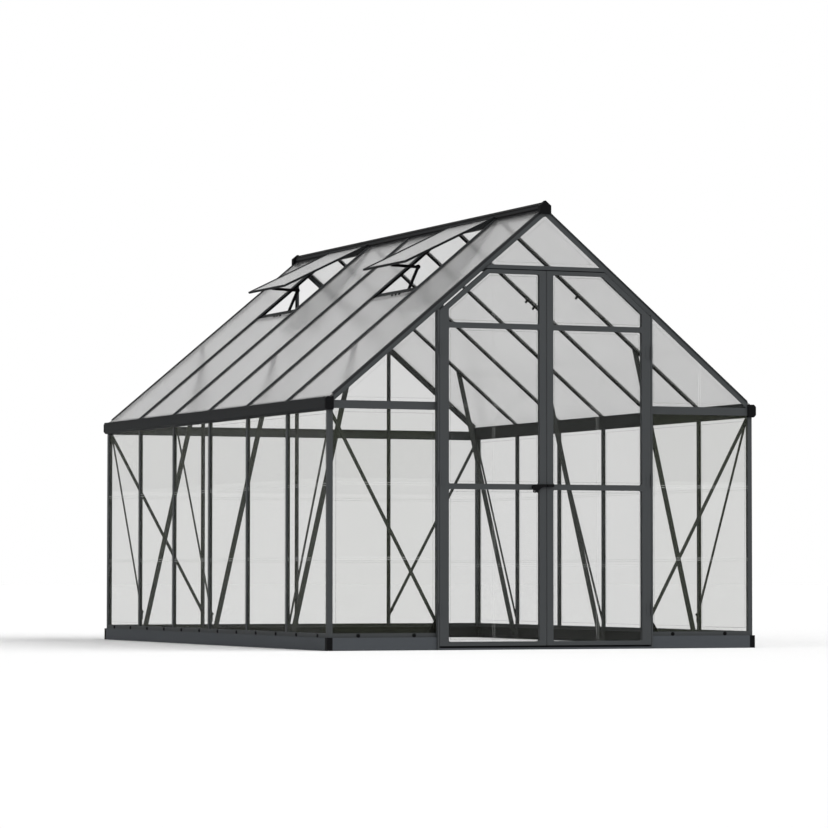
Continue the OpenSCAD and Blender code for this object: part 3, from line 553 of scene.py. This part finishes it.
# A grey line round the sheets at the front and the sides, where their edges are pressed.
RIM = 0.018
LEAF_RIM = 0.012
RIM_RADIUS = 0.0016
house_rims = []
for side in (-1, 1):
    for outline in (FRONT_PANE, SIDE_GABLE):
        house_rims.append(closed([(side * x, -SHEET_Y, z) for x, z in inset(outline, RIM)]))
    for k in range(SIDE_BAYS):
        first, last = between_bars(STUDS, k, POST_COVER)
        pane = inset([(first, SILL_TOP), (last, SILL_TOP), (last, EAVE_Z), (first, EAVE_Z)], RIM)
        house_rims.append(closed([(side * SHEET_X, y, z) for y, z in pane]))
house_rims.append(closed([(x, -SHEET_Y, z) for x, z in inset(TOP_GABLE, RIM)]))
thin_lines("sheet_rims", house_rims, RIM_RADIUS, rim_finish, "house")

# Two lines with a painted glint along every pressed rib, one at each edge: level ones in the walls, upright
# ones beside the door head.
RIB_HALF = 0.0055
RIB_EDGES = (-RIB_HALF, RIB_HALF)
GLINT_RADIUS = 0.0007
house_crease_glints = []
for third in (1, 2):
    for edge in RIB_EDGES:
        z = SILL_TOP + third * (EAVE_Z - SILL_TOP) / 3 + edge
        front_z = SILL_TOP + third * (FRONT_RAIL - SILL_TOP) / 3 + edge
        for side in (-1, 1):
            for k in range(SIDE_BAYS):
                first, last = between_bars(STUDS, k, POST_COVER)
                house_crease_glints.append([(side * SHEET_X, first, z), (side * SHEET_X, last, z)])
            house_crease_glints.append([(side * JAMB_OUT, -SHEET_Y, front_z), (side * TUBE_X, -SHEET_Y, front_z)])
        for k in range(REAR_BAYS):
            first, last = between_bars(REAR_POSTS, k, TUBE)
            house_crease_glints.append([(first, SHEET_Y, z), (last, SHEET_Y, z)])
for side in (-1, 1):
    for edge in RIB_EDGES:
        x = (JAMB_OUT + TUBE_X) / 2 + edge
        top = roof_height(x, RAFTER_LOW)
        house_crease_glints.append([(side * x, -SHEET_Y, RAIL_TOP), (side * x, -SHEET_Y, top)])
thin_lines("sheet_creases", house_crease_glints, GLINT_RADIUS, painted_crease_glint, "house")

# Rims of the door panes, and painted glint lines along their creases: a cross in the lower two panes and an
# upright one in the top one.
DOOR_GLINT_RADIUS = 0.0006
for body, side in DOORS:
    rims = [closed([(side * x, LEAF_GLASS_Y, z) for x, z in inset(field, LEAF_RIM)])
            for field in LEAF_FIELDS]
    thin_lines(body + "_rims", rims, RIM_RADIUS, rim_finish, body)
    crease_glints = []
    for edge in RIB_EDGES:
        x = (LEAF_IN + LEAF_OUT) / 2 + edge
        for field in LEAF_FIELDS[:2]:
            foot, top = field[0][1], field[2][1]
            crease_glints.append([(side * x, LEAF_GLASS_Y, foot), (side * x, LEAF_GLASS_Y, top)])
            z = (foot + top) / 2 + edge
            crease_glints.append([(side * LEAF_IN, LEAF_GLASS_Y, z), (side * LEAF_OUT, LEAF_GLASS_Y, z)])
        top = min(LEAF_TOP, roof_height(x, LEAF_EDGE))
        crease_glints.append([(side * x, LEAF_GLASS_Y, TOP_RAIL[1]), (side * x, LEAF_GLASS_Y, top)])
    thin_lines(body + "_creases", crease_glints, DOOR_GLINT_RADIUS, door_painted_crease_glint, body)


def soft_box(maker, first, last, bevel):
    """Adds a box between two corners with its edges rounded off."""
    made = bmesh.ops.create_cube(maker, size=1.0)
    size = [b - a for a, b in zip(first, last)]
    middle = [(a + b) / 2 for a, b in zip(first, last)]
    bmesh.ops.scale(maker, vec=size, verts=made["verts"])
    bmesh.ops.translate(maker, vec=middle, verts=made["verts"])
    edges = list({edge for vert in made["verts"] for edge in vert.link_edges})
    bmesh.ops.bevel(maker, geom=edges, offset=bevel, segments=2, profile=0.5, affect="EDGES")


def end_piece(name, maker, finish, body):
    """Turns built geometry into a piece that rides on a body."""
    mesh = bpy.data.meshes.new(name)
    maker.to_mesh(mesh)
    maker.free()
    mesh.materials.append(finish)
    add_piece(name, mesh, body)


# A seal with two lips along each meeting stile, as ranges from the middle and from the door's face.
SEAL_LIPS = (((0.0006, 0.003), (0.001, 0.006)), ((0.0012, 0.003), (0.010, 0.022)))
for body, side in DOORS:
    maker = bmesh.new()
    for across, deep in SEAL_LIPS:
        left, right = sorted(side * x for x in across)
        front, back = (DOOR_FACE + y for y in deep)
        soft_box(maker, (left, front, STILE_FOOT), (right, back, STILE_TOP), bevel=0.0003)
    end_piece(body + "_seal", maker, finishes["frame_metal"], body)

# Two bolts a bay along the sills.
SILL_BOLT_Z = BASE_TOP + 0.010
END_BOLTS = (0.738, 1.046)
REAR_BOLT_STEP = 0.58
sill_bolts = []
for side in (-1, 1):
    for k in range(SIDE_BAYS):
        for share in (0.25, 0.75):
            sill_bolts.append(((side * WALL_X, STUDS[k] + share * BAY, SILL_BOLT_Z), (side, 0, 0)))
    for x in END_BOLTS:
        sill_bolts.append(((side * x, -WALL_Y, SILL_BOLT_Z), (0, -1, 0)))
        sill_bolts.append(((side * (x - REAR_BOLT_STEP), WALL_Y, SILL_BOLT_Z), (0, 1, 0)))
        sill_bolts.append(((side * x, WALL_Y, SILL_BOLT_Z), (0, 1, 0)))
bolt_heads("sill_bolts", sill_bolts, head_radius=0.0065, head_height=0.005, washer_radius=0.0105)

# Bolts at both ends of the flat braces and of the knee struts.
BRACE_FOOT = 0.170
BRACE_HEAD = 1.197
CORNER_BRACE = ((IN_Y - BRACE, BRACE_HEAD), (STUDS[5], BRACE_FOOT))
MIDDLE_BRACE = ((0.0, BRACE_FOOT), (STUDS[4], BRACE_HEAD))
END_BRACE = ((0.622, 0.172), (1.176, 1.190))
STRUT_FOOT_X = 1.183
STRUT_FOOT_Z = 0.020
STRUT_HEAD_X = 0.812
STRUT_HALF = 0.008
STRUT_BOLTS = (0.022, 0.955, 0.975)
frame_bolts = []
for side in (-1, 1):
    brace_x = side * (IN_X - BRACE)
    for y, z in CORNER_BRACE + MIDDLE_BRACE:
        frame_bolts.append(((brace_x, y, z), (-side, 0, 0)))
    for y, z in CORNER_BRACE:
        frame_bolts.append(((brace_x, -y, z), (-side, 0, 0)))
    for x, z in END_BRACE:
        frame_bolts.append(((side * x, BRACE - IN_Y, z), (0, 1, 0)))
        frame_bolts.append(((side * x, IN_Y - BRACE, z), (0, -1, 0)))
    for k in STRUT_STUDS:
        for share in STRUT_BOLTS:
            x = STRUT_FOOT_X + share * (STRUT_HEAD_X - STRUT_FOOT_X)
            z = STRUT_FOOT_Z + share * (roof_height(STRUT_HEAD_X) - STRUT_FOOT_Z)
            frame_bolts.append(((side * x, STUDS[k] + STRUT_HALF, z), (0, 1, 0)))
bolt_heads("frame_bolts", frame_bolts, head_radius=0.005, head_height=0.005, washer_radius=0.008)

# Rivets below the sills of the vents, on the left slope.
VENT_MIDDLES = (STUDS[1] + BAY / 2, STUDS[4] + BAY / 2)
RIVET_SHIFTS = (-0.10, -0.05, 0.0)
RIVET_ALONG = 0.643
out_left = (-math.sin(PITCH), 0, math.cos(PITCH))
rivets = [(on_roof(-1, RIVET_ALONG, middle + shift, PANEL_OUT), out_left)
          for middle in VENT_MIDDLES for shift in RIVET_SHIFTS]
bolt_heads("vent_rivets", rivets, head_radius=0.006, head_height=0.004, washer_radius=0.008)

# Knobs under two bars of the right slope, each given by its bar and its distance from the ridge.
KNOBS = ((1, 0.628), (2, 0.598), (2, 0.654))
into_right = (-math.sin(PITCH), 0, -math.cos(PITCH))
knobs = [(on_roof(1, along, STUDS[k], BAR_LOW), into_right) for k, along in KNOBS]
bolt_heads("roof_knobs", knobs, head_radius=0.007, head_height=0.018, washer_radius=0.010)

# Black lines along both sides of the ridge.
RIDGE_LINE_X = 0.0165
RIDGE_LINE_Z = 2.297
RIDGE_LINE_RADIUS = 0.0045
ridge_lines = [[(side * RIDGE_LINE_X, y, RIDGE_LINE_Z) for y in (-IN_Y, IN_Y)] for side in (-1, 1)]
thin_lines("ridge_lines", ridge_lines, RIDGE_LINE_RADIUS, finishes["black_plastic"], "house")


def roof_bar_boxes(name, along, half, off, bevel):
    """Puts a box on every roof bar, given by its reach along the slope, half width and heights."""
    maker = bmesh.new()
    for side in (-1, 1):
        for y in STUDS[1:-1]:
            placed = set(maker.verts)
            soft_box(maker, (along[0], y - half, off[0]), (along[1], y + half, off[1]), bevel)
            for vert in set(maker.verts) - placed:
                vert.co = on_roof(side, *vert.co)
    bmesh.ops.recalc_face_normals(maker, faces=maker.faces)
    end_piece(name, maker, bar_paint_and_painted_shade, "house")


# Cover strips under the roof bars, as they show from inside, in the bars' near-black painted shade, and
# feet that reach the gutters.
ROOF_BAR_HALF = STUDS[1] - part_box("left_roof_bars")[0][1]
STRIP_HALF = 0.010
STRIP_ALONG = (0.030, 1.500)
STRIP_HEIGHTS = (-0.0192, -0.0168)
FOOT_ALONG = (1.5445, 1.5895)
FOOT_HEIGHTS = (-0.0068, 0.0)
roof_bar_boxes("roof_bar_strips", STRIP_ALONG, STRIP_HALF, STRIP_HEIGHTS, bevel=0.0006)
roof_bar_boxes("roof_bar_feet", FOOT_ALONG, ROOF_BAR_HALF, FOOT_HEIGHTS, bevel=0.0008)

# Plates that close the base channel behind the feet of the struts.
PLATE_X = (1.1903, 1.1917)
PLATE_Z = (0.004, 0.062)
PLATE_HALF = 0.035
maker = bmesh.new()
for side in (-1, 1):
    left, right = sorted(side * x for x in PLATE_X)
    for k in STRUT_STUDS:
        front, back = STUDS[k] - PLATE_HALF, STUDS[k] + PLATE_HALF
        soft_box(maker, (left, front, PLATE_Z[0]), (right, back, PLATE_Z[1]), bevel=0.0005)
end_piece("foot_plates", maker, finishes["brace_metal"], "house")

# The camera stands low in front of the left corner.
SENSOR = 36.0
FOCAL_WIDTHS = 4.53369
lens = bpy.data.cameras.new("camera")
lens.sensor_width = SENSOR
lens.sensor_fit = "HORIZONTAL"
lens.lens = FOCAL_WIDTHS * SENSOR
lens.clip_end = 400.0
camera = bpy.data.objects.new("camera", lens)
camera.location = (-8.13077, -19.58715, 0.38661)
camera.rotation_euler = [math.radians(angle) for angle in (92.4506, -0.0372, -22.5892)]
bpy.context.scene.collection.objects.link(camera)
bpy.context.scene.camera = camera

# White studio floor, just under the part.
FLOOR_REACH = 120.0
FLOOR_DROP = 0.0005
floor_mesh = bpy.data.meshes.new("studio_floor")
corners = [(x * FLOOR_REACH, y * FLOOR_REACH, 0) for x, y in ((-1, -1), (1, -1), (1, 1), (-1, 1))]
floor_mesh.from_pydata(corners, [], [(0, 1, 2, 3)])
paper, paper_tree, paper_surface = new_material("white paper")
feed(paper_tree, paper_surface,
     {"Base Color": (*FLOOR_PAPER, 1), "Roughness": 1.0, "Specular IOR Level": 0.0})
floor_mesh.materials.append(paper)
floor = bpy.data.objects.new("studio_floor", floor_mesh)
floor.location = (0, 0, -FLOOR_DROP)
bpy.context.scene.collection.objects.link(floor)

# The surround is white to the eye, in reflections and through panes, and a softer light on the object.
SURROUND_GLOW = 0.48
world = bpy.data.worlds.new("studio")
world.use_nodes = True
surround = world.node_tree
surround.nodes.clear()
seen = add(surround, "ShaderNodeBackground", {"Color": STUDIO_WHITE, "Strength": 1.0})
glow = add(surround, "ShaderNodeBackground", {"Color": STUDIO_WHITE, "Strength": SURROUND_GLOW})
ray = add(surround, "ShaderNodeLightPath", {}).outputs
straight = calc(surround, "MAXIMUM", ray["Is Camera Ray"], ray["Is Glossy Ray"])
in_view = calc(surround, "MAXIMUM", straight, ray["Is Transmission Ray"])
blend = add(surround, "ShaderNodeMixShader", {"Fac": in_view, 1: glow.outputs[0], 2: seen.outputs[0]})
add(surround, "ShaderNodeOutputWorld", {"Surface": blend.outputs[0]})
bpy.context.scene.world = world

# Two broad lights, a strong one from the front right and a weak one from the left.
LAMP_REACH = 10.0


def soft_sun(name, toward, spread, strength):
    """A broad even light that shines from the given direction."""
    lamp = bpy.data.lights.new(name, "SUN")
    lamp.angle = math.radians(spread)
    lamp.energy = strength
    holder = bpy.data.objects.new(name, lamp)
    holder.location = Vector(toward) * LAMP_REACH
    holder.rotation_euler = Vector(toward).to_track_quat("Z", "Y").to_euler()
    bpy.context.scene.collection.objects.link(holder)


soft_sun("key light", (0.62, -0.42, 0.66), spread=60, strength=3.1)
soft_sun("fill light", (-0.88, -0.30, 0.37), spread=60, strength=1.0)

bpy.context.scene.view_settings.view_transform = "Standard"
